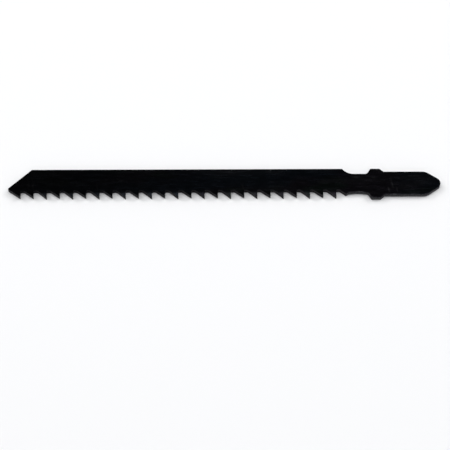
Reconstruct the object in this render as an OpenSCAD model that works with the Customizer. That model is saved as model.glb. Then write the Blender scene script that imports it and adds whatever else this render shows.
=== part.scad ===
// Jigsaw blade for wood with a single-lug tang, blanked from one strip of tool steel.
// +X runs along the blade from the nose to the tang, +Y points to the back edge, and the
// teeth point to -Y. The blade lies on its side, with the origin under its middle.

/* [Strip] */
// Width of the toothed strip, from the back edge to the tooth tips
strip_w = 7.7; // [7.2:0.1:8.6]
// Thickness of the steel
steel_t = 1.2; // [0.9:0.05:1.5]

/* [Nose] */
// Length from the nose tip to the first cutting face
nose_l = 3.05; // [2.6:0.05:3.6]
// Angle between the clipped corner of the nose and the back edge
nose_angle = 44; // [38:1:55]
// Angle between the underside of the nose and the back edge
under_angle = 35.5; // [30:0.5:38]
// Depth of the nose tip below the back edge
nose_drop = 5.4; // [4.9:0.1:5.7]
// Radius of the nose tip
nose_r = 0.2; // [0.1:0.05:0.8]

/* [Teeth] */
// Number of teeth
tooth_count = 25; // [6:1:40]
// Distance from one tooth to the next
tooth_pitch = 3.175; // [2.8:0.025:4]
// Height of a tooth, from the gullet floor to the tip
tooth_h = 1.8; // [1.4:0.05:2.2]
// Forward lean of the cutting face
rake_angle = 2; // [0:1:8]
// Flat left on a tooth tip
tip_land = 0.06; // [0.04:0.02:0.3]
// Width of the gullet floor, before its corners are rounded
gullet_w = 0.86; // [0.7:0.02:1.1]
// Radius between the cutting face and the gullet floor
gullet_r = 0.35; // [0.15:0.05:0.45]
// Radius between the gullet floor and the back of the next tooth
gullet_rise_r = 0.9; // [0.2:0.1:1]

/* [Set] */
// Distance a set tooth leans out past the side of the strip
tooth_set = 0.2; // [0:0.02:0.3]
// Height of the bent part of a tooth, above its tip
set_h = 1.2; // [0.9:0.05:1.3]

/* [Neck] */
// Length of full-width strip past the last cutting face, along the back edge
heel_l = 1.65; // [1:0.05:3]
// Length of tooth-side steel past the last cutting face, to the heel's corner
under_heel_l = 2.4; // [1.9:0.05:3]
// Slope of the heel from its corner up to the neck
heel_angle = 45; // [35:1:65]
// Distance along the back edge from the neck cut to the lug
neck_l = 6.85; // [6.6:0.05:9]
// Depth of the neck cut in the back edge
back_cut = 1.44; // [0.8:0.01:1.6]
// Radius of the neck cut in the back edge
back_cut_r = 3.5; // [2:0.1:3.6]
// Width of the neck at its narrowest
neck_w = 5; // [4.5:0.05:5.4]
// Slope of the two halves of the shallow vault under the neck
vault_angle = 6; // [2:1:8]
// Radius at the top of the vault
vault_r = 11; // [4:0.5:14]
// Radius at the foot of the lug
foot_r = 0.6; // [0.1:0.05:0.7]

/* [Tang] */
// Width over the two lugs
lug_w = 8.1; // [7.5:0.05:8.3]
// Length of the flat on top of a lug
lug_l = 2.2; // [1.5:0.1:3]
// Angle of the lug's flank towards the teeth
lug_front_angle = 58; // [50:1:80]
// Angle of the lug's flank towards the end of the tang
lug_rear_angle = 40; // [30:1:70]
// Radius on the lug's corners
lug_r = 0.25; // [0.05:0.05:0.4]
// Width of the shank
shank_w = 6.4; // [5.6:0.05:6.8]
// Length from the lug to the end of the tang
shank_l = 14.6; // [11:0.05:17]
// Angle between the point's sides and the blade's length
point_angle = 35; // [25:1:45]
// Radius of the point
point_r = 1.5; // [0.5:0.1:2]
// Radius where the shank turns into the point
shoulder_r = 3; // [0.5:0.5:5]

/* [Hidden] */
$fn = 96;
steel = [0.05, 0.05, 0.06];
// Overrun of a cutting shape past the steel
past = 1;
// How far a rounded corner's arc stands past the edges that it blends
bulge = 0.002;
// Flat stretch between a tooth's bend and the unbroken strip
lap = 0.1;

// Places along the blade, from the nose tip
first_x = nose_l;
last_x = first_x + (tooth_count - 1) * tooth_pitch;
neck_x = last_x + heel_l;
lug_x = neck_x + neck_l;
end_x = lug_x + lug_l + shank_l;

// Places across the blade, from the middle of the tang
back_y = lug_w / 2;
tip_y = back_y - strip_w;
root_y = tip_y + tooth_h;
neck_top_y = back_y - back_cut;
neck_low_y = neck_top_y - neck_w;
bend_y = tip_y + set_h;

// Lean of a set tooth, and the slope of a tooth's back
set_angle = atan(tooth_set / set_h);
rise_angle = atan(tooth_h / (tooth_pitch - gullet_w - tip_land));

function toward(a, b) = (b - a) / norm(b - a);
function half_angle(a, p, b) = acos(toward(p, a) * toward(p, b)) / 2;

// Point where the line through p at angle a crosses the line through q at angle b
function meet(p, a, q, b) =
    p + [cos(a), sin(a)] * cross(q - p, [cos(b), sin(b)]) / sin(b - a);

// Point on the edge from corner p towards a where an arc of radius r leaves it, with p
// between a and b, and the arc's centre
function arc_end(a, p, b, r) = p + toward(p, a) * r / tan(half_angle(a, p, b));
function arc_centre(a, p, b, r) =
    p + toward([0, 0], toward(p, a) + toward(p, b)) * r / sin(half_angle(a, p, b));

// Slice of disc that fills the rounded corner p. The disc is larger by bulge, so that it
// crosses both edges cleanly, and the slice is a little wider than the corner's arc.
module corner_slice(a, p, b, r) {
    c = arc_centre(a, p, b, r);
    mid = p - c;
    half = 90 - half_angle(a, p, b) + 2 * acos(r / (r + bulge));
    translate(c) intersection() {
        circle(r + bulge);
        rotate(atan2(mid.y, mid.x)) scale(2 * r)
            polygon([[0, 0], [cos(half), sin(half)], [1 / cos(half), 0], [cos(half), -sin(half)]]);
    }
}

// Convex outline whose corner i is rounded to radii[i], or stays sharp where that is 0
module rounded(points, radii) {
    n = len(points);
    polygon([for (i = [0 : n - 1])
        let (a = points[(i + n - 1) % n], p = points[i], b = points[(i + 1) % n], r = radii[i])
        each r > 0 ? [arc_end(a, p, b, r), arc_end(b, p, a, r)] : [p]]);
    for (i = [0 : n - 1])
        if (radii[i] > 0)
            corner_slice(points[(i + n - 1) % n], points[i], points[(i + 1) % n], radii[i]);
}

// Toothed strip with its clipped nose, before the gullets are cut. The underside of the
// nose is also the back of the first tooth. The nose tip's arc touches the line x = 0.
module strip_plan() {
    nose_half = (nose_angle + under_angle) / 2;
    nose_tilt = (nose_angle - under_angle) / 2;
    apex_x = nose_r - nose_r / sin(nose_half) * cos(nose_tilt);
    rounded(
        [[apex_x, back_y - nose_drop],
         [apex_x + (strip_w - nose_drop) / tan(under_angle), tip_y],
         [lug_x, tip_y],
         [lug_x, back_y],
         [apex_x + nose_drop / tan(nose_angle), back_y]],
        [nose_r, 0, 0, 0, 0]);
}

// Lugs on both sides, each with its rear flank down to the shank
module lug_plan() {
    rear_l = (lug_w - shank_w) / 2 / tan(lug_rear_angle);
    inside_x = neck_x + neck_l / 2;
    for (side = [0, 1])
        mirror([0, side])
            rounded(
                [[inside_x, 0], [lug_x + lug_l + rear_l, 0],
                 [lug_x + lug_l + rear_l, shank_w / 2],
                 [lug_x + lug_l, lug_w / 2],
                 [inside_x, lug_w / 2]],
                [0, 0, 0, lug_r, 0]);
}

// Shank with its bullet point
module shank_plan() {
    apex_x = end_x - point_r + point_r / sin(point_angle);
    shoulder_x = apex_x - shank_w / 2 / tan(point_angle);
    rounded(
        [[lug_x, -shank_w / 2], [shoulder_x, -shank_w / 2], [apex_x, 0],
         [shoulder_x, shank_w / 2], [lug_x, shank_w / 2]],
        [0, shoulder_r, point_r, shoulder_r, 0]);
}

// Gullet in front of the cutting face whose tip is at x
module gullet_plan(x) {
    rounded(
        [[x + past * tan(rake_angle), tip_y - past],
         [x - tooth_h * tan(rake_angle), root_y],
         [x + gullet_w, root_y],
         [x + gullet_w + (tooth_h + past) / tan(rise_angle), tip_y - past]],
        [0, gullet_r, gullet_rise_r, 0]);
}

// Cut in the back edge that frees the lug: a round run-in, then a flat to the lug's foot
module back_cut_plan() {
    run_in = sqrt(back_cut * (2 * back_cut_r - back_cut));
    foot_x = lug_x - back_cut / tan(lug_front_angle);
    translate([neck_x + run_in, neck_top_y + back_cut_r]) circle(back_cut_r);
    rounded(
        [[neck_x + run_in, neck_top_y], [foot_x, neck_top_y],
         [lug_x + past / tan(lug_front_angle), back_y + past],
         [neck_x + run_in, back_y + past]],
        [0, foot_r, 0, 0]);
}

// Cut under the neck, from the heel behind the last gullet, over a shallow vault, to the lug
module under_cut_plan() {
    heel = [last_x + under_heel_l, root_y - (under_heel_l - gullet_w) * tan(rise_angle)];
    vault = [neck_x + neck_l / 2, neck_low_y];
    lug = [lug_x, -lug_w / 2];
    below = [0, min(tip_y, -lug_w / 2) - past];
    rounded(
        [meet(heel, heel_angle, below, 0),
         meet(lug, -lug_front_angle, below, 0),
         meet(lug, -lug_front_angle, vault, -vault_angle),
         vault,
         meet(heel, heel_angle, vault, vault_angle)],
        [0, 0, foot_r, vault_r, foot_r]);
}

// The whole blade seen from the side, with straight teeth
module blade_plan() {
    difference() {
        union() {
            strip_plan();
            lug_plan();
            shank_plan();
        }
        for (k = [0 : tooth_count - 1]) gullet_plan(first_x + k * tooth_pitch);
        back_cut_plan();
        under_cut_plan();
    }
}

// Strip as seen along the blade, bent over at bend_y so that its teeth lean to +Z
module bent_section() {
    inner_y = bend_y - steel_t * tan(set_angle / 2);
    low_y = tip_y - past;
    polygon([[bend_y + past, 0], [inner_y, 0], [low_y, (inner_y - low_y) * tan(set_angle)],
             [low_y, steel_t + (bend_y - low_y) * tan(set_angle)],
             [bend_y, steel_t], [bend_y + past, steel_t]]);
}

// Slab in which tooth k leans to +Z where k is odd and to -Z where it is even. It ends in
// the open gullets on both sides of the tooth.
module tooth_slab(k) {
    from_x = first_x + (k - 1) * tooth_pitch + gullet_w;
    to_x = first_x + k * tooth_pitch + gullet_w / 4;
    translate([from_x, 0, steel_t / 2])
        mirror([0, 0, (k + 1) % 2])
            translate([0, 0, -steel_t / 2])
                rotate([90, 0, 90]) linear_extrude(to_x - from_x) bent_section();
}

// Sheet of steel that the blade is cut from, flat but for its set teeth. The first tooth,
// which is cut into the nose, stays straight.
module sheet() {
    difference() {
        translate([-past, tip_y - past, 0])
            cube([end_x + 2 * past, strip_w + 2 * past, steel_t]);
        translate([first_x + gullet_w / 2, tip_y - 2 * past, -past])
            cube([last_x - first_x, 2 * past + set_h + lap, steel_t + 2 * past]);
    }
    for (k = [1 : tooth_count - 1]) tooth_slab(k);
}

// One piece of steel
module blade() {
    color(steel) translate([-end_x / 2, 0, tooth_set]) intersection() {
        translate([0, 0, -past]) linear_extrude(steel_t + 2 * past) blade_plan();
        sheet();
    }
}

blade();
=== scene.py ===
import math

import bmesh
import bpy
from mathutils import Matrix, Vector


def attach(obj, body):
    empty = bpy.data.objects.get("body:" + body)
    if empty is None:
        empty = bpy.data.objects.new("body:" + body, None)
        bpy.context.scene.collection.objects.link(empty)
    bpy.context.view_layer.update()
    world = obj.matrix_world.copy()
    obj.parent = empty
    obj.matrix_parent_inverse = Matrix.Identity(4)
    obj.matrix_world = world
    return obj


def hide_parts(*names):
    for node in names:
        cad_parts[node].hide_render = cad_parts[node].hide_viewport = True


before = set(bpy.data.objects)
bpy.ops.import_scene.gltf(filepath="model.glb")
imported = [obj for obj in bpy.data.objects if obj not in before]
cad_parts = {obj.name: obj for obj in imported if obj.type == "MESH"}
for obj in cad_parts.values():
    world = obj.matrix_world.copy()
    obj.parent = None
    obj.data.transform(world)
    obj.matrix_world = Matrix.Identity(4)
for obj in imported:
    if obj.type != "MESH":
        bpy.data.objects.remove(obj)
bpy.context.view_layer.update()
MM = 0.001

# The blade: its form. One piece of tool steel, punched out of rolled strip. The teeth are
# milled with many blades clamped in one stack, and then bent out left and right in turn.
# Punching and tumbling leave a fine rounded rim, while the milled teeth stay crisp.
HEEL_X = 29.4 * MM
ROOT_Y = -1.7 * MM
PUNCHED_RIM = 0.08 * MM
BEND_ROUND = 0.22 * MM
ROUND_STEPS = 3
MERGE = 0.0001 * MM
SAME_SPOT = 0.001 * MM
BROAD_NORMAL = 0.5
ONE_PLANE_ANGLE = 0.001
LEAST_FOLD = math.radians(2)
SMOOTH_ANGLE = math.radians(35)
LEAST_CORNERS = 5


def is_broad(face):
    """True for the broad sides of the blade, which face up or down, bent teeth included."""
    return abs(face.normal.z) > BROAD_NORMAL


def is_milled(point):
    """True for a point of the outline that lies in the teeth."""
    return point.x < HEEL_X and point.y < ROOT_Y


def middle(edge):
    """Point halfway along an edge."""
    return (edge.verts[0].co + edge.verts[1].co) / 2


def punched_rims(bm):
    """Edges between a broad side and the outline, outside the teeth."""
    return [e for e in bm.edges
            if is_broad(e.link_faces[0]) != is_broad(e.link_faces[1])
            and not is_milled(middle(e))]


def round_edges(bm, edges, width):
    """Rounds the edges and returns the faces that this makes."""
    made = bmesh.ops.bevel(bm, geom=edges, offset=width, offset_type="OFFSET",
                           segments=ROUND_STEPS, profile=0.5, affect="EDGES",
                           clamp_overlap=False, material=-1)
    return made["faces"]


# The solid's loose triangles are joined, and those of one plane become one face
bm = bmesh.new()
bm.from_mesh(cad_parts["blade"].data)
bmesh.ops.remove_doubles(bm, verts=bm.verts, dist=MERGE)
bmesh.ops.recalc_face_normals(bm, faces=bm.faces)
bmesh.ops.dissolve_limit(bm, angle_limit=ONE_PLANE_ANGLE, verts=bm.verts, edges=bm.edges)

# A set tooth leaves the strip in a soft bend, not in a crease
folds = [e for e in bm.edges
         if is_broad(e.link_faces[0]) and is_broad(e.link_faces[1])
         and e.calc_face_angle() > LEAST_FOLD]
round_edges(bm, folds, BEND_ROUND)

# Each face says how it was cut, for the finish
punched_layer = bm.faces.layers.float.new("punched")
milled_layer = bm.faces.layers.float.new("milled")
rim_layer = bm.faces.layers.float.new("rim")
for face in bm.faces:
    in_teeth = is_milled(face.calc_center_median())
    face[punched_layer] = 0.0 if is_broad(face) or in_teeth else 1.0
    face[milled_layer] = 1.0 if in_teeth and not is_broad(face) else 0.0
for face in round_edges(bm, punched_rims(bm), PUNCHED_RIM):
    face[punched_layer] = 0.0
    face[rim_layer] = 1.0

# Points that the rounding left on one spot are joined
bmesh.ops.remove_doubles(bm, verts=bm.verts, dist=SAME_SPOT)
bmesh.ops.dissolve_degenerate(bm, edges=bm.edges, dist=SAME_SPOT)

blade_mesh = bpy.data.meshes.new("blade_steel")
bm.to_mesh(blade_mesh)
bm.free()
for polygon in blade_mesh.polygons:
    polygon.use_smooth = True
blade_mesh.set_sharp_from_angle(angle=SMOOTH_ANGLE)
blade = bpy.data.objects.new("blade_steel", blade_mesh)
bpy.context.scene.collection.objects.link(blade)

# The broad sides shade as flat ones up to the rounded rims, and each face of five corners or
# more is then split into triangles
flat_sides = blade.modifiers.new("flat_sides", "WEIGHTED_NORMAL")
flat_sides.keep_sharp = True
side_split = blade.modifiers.new("side_split", "TRIANGULATE")
side_split.min_vertices = LEAST_CORNERS
side_split.ngon_method = "BEAUTY"
side_split.keep_custom_normals = True

# The blade: its finish. A hot black-oxide bath turns the steel's own skin into a satin black
# film of a thousandth of a millimetre, with a faint blue, violet and green cast. It is rubbed
# along the rims and paler where the punch tore the outline, partly as painted reflection, and
# painted shade darkens it towards the nose.
oxide = bpy.data.materials.new("black_oxide_steel")
oxide.use_nodes = True
nodes, links = oxide.node_tree.nodes, oxide.node_tree.links
shader = nodes["Principled BSDF"]
place = nodes.new("ShaderNodeTexCoord")
in_mm = nodes.new("ShaderNodeVectorMath")
in_mm.operation = "SCALE"
in_mm.inputs["Scale"].default_value = 1 / MM
links.new(place.outputs["Object"], in_mm.inputs[0])
axes = nodes.new("ShaderNodeSeparateXYZ")
links.new(in_mm.outputs["Vector"], axes.inputs["Vector"])
x_mm, y_mm, z_mm = axes.outputs["X"], axes.outputs["Y"], axes.outputs["Z"]


def put(value, socket):
    """Links an output to a socket, or writes a number or colour on it."""
    if isinstance(value, bpy.types.NodeSocket):
        links.new(value, socket)
    elif isinstance(value, tuple):
        socket.default_value = (*value, 1.0)
    else:
        socket.default_value = value


def sum_up(operation, a, b):
    """Result of a sum on two values or numbers."""
    node = nodes.new("ShaderNodeMath")
    node.operation = operation
    put(a, node.inputs[0])
    put(b, node.inputs[1])
    return node.outputs["Value"]


def plus(a, b):
    """a and b together."""
    return sum_up("ADD", a, b)


def minus(a, b):
    """a less b."""
    return sum_up("SUBTRACT", a, b)


def times(a, b):
    """a times b."""
    return sum_up("MULTIPLY", a, b)


def cloud(per_mm, detail=4.0, roughness=0.55):
    """Soft noise from 0 to 1, with so many grains a millimetre along X, Y and Z."""
    mapping = nodes.new("ShaderNodeMapping")
    mapping.inputs["Scale"].default_value = per_mm
    links.new(in_mm.outputs["Vector"], mapping.inputs["Vector"])
    noise = nodes.new("ShaderNodeTexNoise")
    noise.inputs["Scale"].default_value = 1.0
    noise.inputs["Detail"].default_value = detail
    noise.inputs["Roughness"].default_value = roughness
    links.new(mapping.outputs["Vector"], noise.inputs["Vector"])
    return noise.outputs["Fac"]


def ramp(value, start, end, at_start=0.0, at_end=1.0):
    """Smooth change from one value to another while the input goes from start to end."""
    step = nodes.new("ShaderNodeMapRange")
    step.interpolation_type = "SMOOTHSTEP"
    put(value, step.inputs["Value"])
    step.inputs["From Min"].default_value = start
    step.inputs["From Max"].default_value = end
    step.inputs["To Min"].default_value = at_start
    step.inputs["To Max"].default_value = at_end
    return step.outputs["Result"]


def mixed(amount, a, b):
    """Colour a where the amount is 0 and colour b where it is 1."""
    mix = nodes.new("ShaderNodeMix")
    mix.data_type = "RGBA"
    put(amount, mix.inputs["Factor"])
    put(a, mix.inputs["A"])
    put(b, mix.inputs["B"])
    return mix.outputs["Result"]


def swing(pattern, reach):
    """A pattern of 0 to 1 as a swing about zero, of so much from end to end."""
    return times(minus(pattern, 0.5), reach)


def marked(name):
    """Value that the mesh's faces carry under a name."""
    attribute = nodes.new("ShaderNodeAttribute")
    attribute.attribute_name = name
    return attribute.outputs["Fac"]


# Broad sides: casts of the film, pale haze in the rolling direction, the film paler in patches
# towards the back edge, and fine specks
BLUE_BLACK = (0.0082, 0.0108, 0.0145)
VIOLET_BLACK = (0.0112, 0.0102, 0.0130)
GREEN_BLACK = (0.0078, 0.0108, 0.0100)
PALE_FILM = (0.040, 0.040, 0.044)
VIOLET_PATCHES = (0.045, 0.10, 0.1)
GREEN_PATCHES = (0.06, 0.20, 0.1)
ROLLING_LINES = (0.12, 9.0, 9.0)
HAZE_PATCHES = (0.07, 0.50, 0.5)
BACK_PATCHES = (0.09, 0.3, 0.3)
FINE_SPECKS = (3.2, 3.2, 3.2)
PALER_FROM_Y = 2.6
BACK_EDGE_Y = 4.0
HAZE_AMOUNT = 0.38
BACK_PALING_AMOUNT = 0.30
SPECK_AMOUNT = 0.8
film = mixed(ramp(cloud(VIOLET_PATCHES), 0.42, 0.60), BLUE_BLACK, VIOLET_BLACK)
film = mixed(ramp(cloud(GREEN_PATCHES, detail=3.0), 0.56, 0.70), film, GREEN_BLACK)
rolling = cloud(ROLLING_LINES, detail=5.0, roughness=0.6)
haze = times(ramp(cloud(HAZE_PATCHES, detail=5.0, roughness=0.6), 0.48, 0.72),
             ramp(rolling, 0.35, 0.70, at_start=0.25, at_end=1.0))
near_back = times(ramp(y_mm, PALER_FROM_Y, BACK_EDGE_Y), ramp(cloud(BACK_PATCHES), 0.42, 0.60))
specks = ramp(cloud(FINE_SPECKS, detail=2.0), 0.70, 0.78, at_start=0.0, at_end=SPECK_AMOUNT)
film = mixed(times(haze, HAZE_AMOUNT), film, PALE_FILM)
film = mixed(times(near_back, BACK_PALING_AMOUNT), film, PALE_FILM)
film = mixed(specks, film, PALE_FILM)

# Rubbed marks from handling: some across the blade, most of them near the nose and behind
# the lugs, and short ones along it. Each has its middle along X and Y, its half length and
# its half width, all in millimetres.
RUBBED_FILM = (0.064, 0.064, 0.069)
MARKS_ACROSS = ((-47.5, -0.2, 2.3, 0.34), (-46.3, -0.2, 2.3, 0.30), (-30.9, -1.0, 1.2, 0.26),
                (4.3, -0.9, 1.1, 0.20), (40.5, 0.1, 2.0, 0.24), (39.3, -1.9, 1.1, 0.24),
                (41.4, -1.9, 1.1, 0.20))
MARKS_ALONG = ((46.0, 1.98, 2.0, 0.20), (-6.4, 1.8, 1.0, 0.14), (12.0, 0.4, 1.6, 0.12),
               (-42.4, 0.8, 0.9, 0.12), (-24.9, 0.8, 0.9, 0.12), (32.0, 1.6, 1.3, 0.40),
               (36.2, 1.6, 0.6, 0.30))
RUBBED_GRAIN = (1.3, 1.3, 1.3)
WAVER_GRAIN = (0.4, 0.4, 0.4)
WAVER_REACH = 1.2
LEAN = 0.18
FULL_CORE = 0.2
FAINTEST_RUB = 0.35


def stripe(value, centre, half_width):
    """1 in the core of a stripe, fading to 0 at its edges."""
    away = sum_up("ABSOLUTE", minus(value, centre), 0.0)
    return ramp(away, half_width * FULL_CORE, half_width, at_start=1.0, at_end=0.0)


grain = ramp(cloud(RUBBED_GRAIN, detail=5.0, roughness=0.7), 0.40, 0.62)
wavering_x = plus(plus(x_mm, swing(cloud(WAVER_GRAIN), WAVER_REACH)), times(y_mm, LEAN))
marks = 0.0
for mark_x, mark_y, half_long, half_wide in MARKS_ACROSS:
    mark = times(stripe(wavering_x, mark_x, half_wide), stripe(y_mm, mark_y, half_long))
    marks = sum_up("MAXIMUM", mark, marks)
for mark_x, mark_y, half_long, half_wide in MARKS_ALONG:
    mark = times(stripe(x_mm, mark_x, half_long), stripe(y_mm, mark_y, half_wide))
    marks = sum_up("MAXIMUM", mark, marks)
rubbed = times(marks, ramp(grain, 0.0, 1.0, at_start=FAINTEST_RUB, at_end=1.0))
film = mixed(rubbed, film, RUBBED_FILM)

# Painted shade: the film is painted darker at the nose, for the dimmer light on that end, and
# the painted shade fades out by the middle of the blade
NOSE_SHADE_BLACK = (0.0042, 0.0042, 0.0045)
NOSE_X = -46.0
MIDDLE_X = 4.0
NOSE_SHADE_AMOUNT = 0.76
painted_shade_towards_nose = ramp(x_mm, NOSE_X, MIDDLE_X, at_start=NOSE_SHADE_AMOUNT, at_end=0.0)
film = mixed(painted_shade_towards_nose, film, NOSE_SHADE_BLACK)

# Milled teeth: cutter lines across the thickness. Their tone is darker than the punched
# outline, partly for the deeper-blackened milled steel and partly as painted reflection of the
# shaded floor in front of the teeth, and a painted reflection of brighter floor pales it
# towards the heel
MILLED_DARK = (0.006, 0.006, 0.007)
MILLED_PALE = (0.020, 0.019, 0.022)
MILLED_REFLECTION_PALE = (0.036, 0.034, 0.038)
CUTTER_LINES = (9.0, 9.0, 0.25)
REFLECTION_FROM_X = -20.0
REFLECTION_TO_X = 25.0
REFLECTION_AMOUNT = 0.6
in_gullets = marked("milled")
cutter_lines = cloud(CUTTER_LINES, roughness=0.6)
milled_tone = mixed(ramp(cutter_lines, 0.38, 0.70), MILLED_DARK, MILLED_PALE)
painted_reflection_to_heel = ramp(x_mm, REFLECTION_FROM_X, REFLECTION_TO_X, at_start=0.0, at_end=REFLECTION_AMOUNT)
milled_tone = mixed(painted_reflection_to_heel, milled_tone, MILLED_REFLECTION_PALE)
film = mixed(in_gullets, film, milled_tone)

# Punched outline: a burnished band where the punch went in and a rough one below it, where the
# steel tore. The lower band is painted paler, partly for the rough torn steel and partly as a
# painted reflection of the lit surface just in front of the blade
PUNCHED_DARK = (0.012, 0.012, 0.0135)
PUNCHED_PALE = (0.046, 0.046, 0.050)
TORN_PALE_AND_REFLECTION = (0.080, 0.080, 0.084)
PUNCH_LINES = (6.0, 6.0, 0.35)
TORN_GRAIN = (5.0, 5.0, 5.0)
BURNISH_Z = 0.85
BURNISH_BLUR = 0.06
TEAR_REACH = 0.5
TORN_AND_REFLECTION_AMOUNT = 0.6
on_punched = marked("punched")
punch_lines = cloud(PUNCH_LINES, detail=5.0, roughness=0.65)
torn = cloud(TORN_GRAIN, detail=6.0, roughness=0.7)
ragged_z = plus(z_mm, swing(torn, TEAR_REACH))
burnished = ramp(ragged_z, BURNISH_Z - BURNISH_BLUR, BURNISH_Z + BURNISH_BLUR)
torn_and_reflecting_band = minus(1.0, burnished)
punched_tone = mixed(ramp(punch_lines, 0.36, 0.68), PUNCHED_DARK, PUNCHED_PALE)
punched_tone = mixed(times(torn_and_reflecting_band, TORN_AND_REFLECTION_AMOUNT), punched_tone, TORN_PALE_AND_REFLECTION)
film = mixed(on_punched, film, punched_tone)

# Rims: the film is rubbed through in patches
RUBBED_STEEL = (0.115, 0.115, 0.120)
WORN_PATCHES = (0.5, 0.9, 0.9)
WORN_AMOUNT = 0.5
wear = times(marked("rim"), ramp(cloud(WORN_PATCHES, detail=6.0, roughness=0.65), 0.44, 0.66))
film = mixed(times(wear, WORN_AMOUNT), film, RUBBED_STEEL)
put(film, shader.inputs["Base Color"])

# Gloss: satin in patches, smoother where it is rubbed and duller where the steel tore. At a
# flat angle the dark film mirrors less than bare steel does.
METAL = 1.0
FLAT_ANGLE_TINT = (0.6, 0.6, 0.6)
SATIN_PATCHES = (0.30, 1.4, 1.4)
SMOOTHEST = 0.20
DULLEST = 0.30
RUBBED_SMOOTHER = 0.05
TORN_DULLER = 0.16
satin = cloud(SATIN_PATCHES, detail=6.0, roughness=0.65)
satin = ramp(satin, 0.30, 0.72, at_start=SMOOTHEST, at_end=DULLEST)
satin = minus(satin, times(marks, RUBBED_SMOOTHER))
satin = plus(satin, times(times(on_punched, torn_and_reflecting_band), TORN_DULLER))
put(satin, shader.inputs["Roughness"])
put(METAL, shader.inputs["Metallic"])
put(FLAT_ANGLE_TINT, shader.inputs["Specular Tint"])

# Relief: rolling lines and rubbed marks all over, and deeper lines on the cut outline
LINE_DEPTH = 0.003 * MM
LINE_STRENGTH = 0.5
MARK_RELIEF = 0.6
OUTLINE_RELIEF = 3.0
all_over = plus(rolling, times(marks, MARK_RELIEF))
on_outline = plus(times(in_gullets, cutter_lines), times(on_punched, torn))
bump = nodes.new("ShaderNodeBump")
put(LINE_STRENGTH, bump.inputs["Strength"])
put(LINE_DEPTH, bump.inputs["Distance"])
put(plus(all_over, times(on_outline, OUTLINE_RELIEF)), bump.inputs["Height"])
put(bump.outputs["Normal"], shader.inputs["Normal"])
blade_mesh.materials.append(oxide)

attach(blade, "root")
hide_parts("blade")

# The floor. A plain white sheet, matt, which the blade lies flat on. It bounces light into
# the blade's cut edges.
FLOOR_REACH = 3.0
FLOOR_WHITE = (0.86, 0.86, 0.86)
FLOOR_ROUGHNESS = 0.9
FLOOR_GLOSS = 0.2
floor_mesh = bpy.data.meshes.new("floor")
bm = bmesh.new()
bmesh.ops.create_grid(bm, x_segments=1, y_segments=1, size=FLOOR_REACH)
bm.to_mesh(floor_mesh)
bm.free()
floor = bpy.data.objects.new("floor", floor_mesh)
bpy.context.scene.collection.objects.link(floor)
sheet = bpy.data.materials.new("white_sheet")
sheet.use_nodes = True
sheet_shader = sheet.node_tree.nodes["Principled BSDF"]
put(FLOOR_WHITE, sheet_shader.inputs["Base Color"])
put(FLOOR_ROUGHNESS, sheet_shader.inputs["Roughness"])
put(FLOOR_GLOSS, sheet_shader.inputs["Specular IOR Level"])
floor_mesh.materials.append(sheet)

# The light. A weak soft box hangs overhead, and two strong ones stand behind the blade, left
# and right, so that its cut edges lie in soft shade. Each has its place, its width and its
# depth in metres, and its power in watts, and it faces the blade.
SOFT_BOXES = (("overhead", (0.0, 0.02, 0.75), 0.9, 0.40, 2.0),
              ("behind_right", (0.64, 0.36, 0.68), 0.5, 0.35, 2.6),
              ("behind_left", (-0.60, 0.36, 0.66), 0.5, 0.35, 2.4))
for name, spot, wide, deep, watts in SOFT_BOXES:
    light = bpy.data.lights.new(name, "AREA")
    light.shape = "RECTANGLE"
    light.size = wide
    light.size_y = deep
    light.energy = watts
    box = bpy.data.objects.new(name, light)
    box.location = spot
    tilt = math.acos(spot[2] / Vector(spot).length)
    box.rotation_euler = (tilt, 0.0, math.atan2(spot[0], -spot[1]))
    bpy.context.scene.collection.objects.link(box)

# The room. It is pale, with one dark side, up behind the blade, which the flat steel mirrors
# towards the camera. The helpers above build its nodes too.
DARK_SIDE = (0.0, 0.60, 0.80)
DARK_STARTS = 0.86
DARK_FULL = 0.97
ROOM_PALE = 0.62
ROOM_DARK = 0.10
ROOM_TINT = (0.96, 0.97, 1.0)
room = bpy.data.worlds.new("room")
room.use_nodes = True
nodes, links = room.node_tree.nodes, room.node_tree.links
direction = nodes.new("ShaderNodeTexCoord")
facing = nodes.new("ShaderNodeVectorMath")
facing.operation = "DOT_PRODUCT"
facing.inputs[1].default_value = DARK_SIDE
links.new(direction.outputs["Generated"], facing.inputs[0])
room_light = ramp(facing.outputs["Value"], DARK_STARTS, DARK_FULL,
                  at_start=ROOM_PALE, at_end=ROOM_DARK)
put(room_light, nodes["Background"].inputs["Strength"])
put(ROOM_TINT, nodes["Background"].inputs["Color"])
bpy.context.scene.world = room
bpy.context.scene.view_settings.view_transform = "Standard"

# The camera. It looks down on the blade from the tooth side, through a long lens.
CAMERA_PLACE = Vector((-0.668, -201.814, 328.402)) * MM
CAMERA_AIM = Vector((0.090, -10.843, 0.0)) * MM
CAMERA_LENS = 127.03
SENSOR_WIDE = 36.0
NEAREST_SEEN = 10.0 * MM
camera_data = bpy.data.cameras.new("camera")
camera_data.lens = CAMERA_LENS
camera_data.sensor_width = SENSOR_WIDE
camera_data.clip_start = NEAREST_SEEN
camera = bpy.data.objects.new("camera", camera_data)
camera.location = CAMERA_PLACE
camera.rotation_euler = (CAMERA_AIM - CAMERA_PLACE).to_track_quat("-Z", "Y").to_euler()
bpy.context.scene.collection.objects.link(camera)
bpy.context.scene.camera = camera
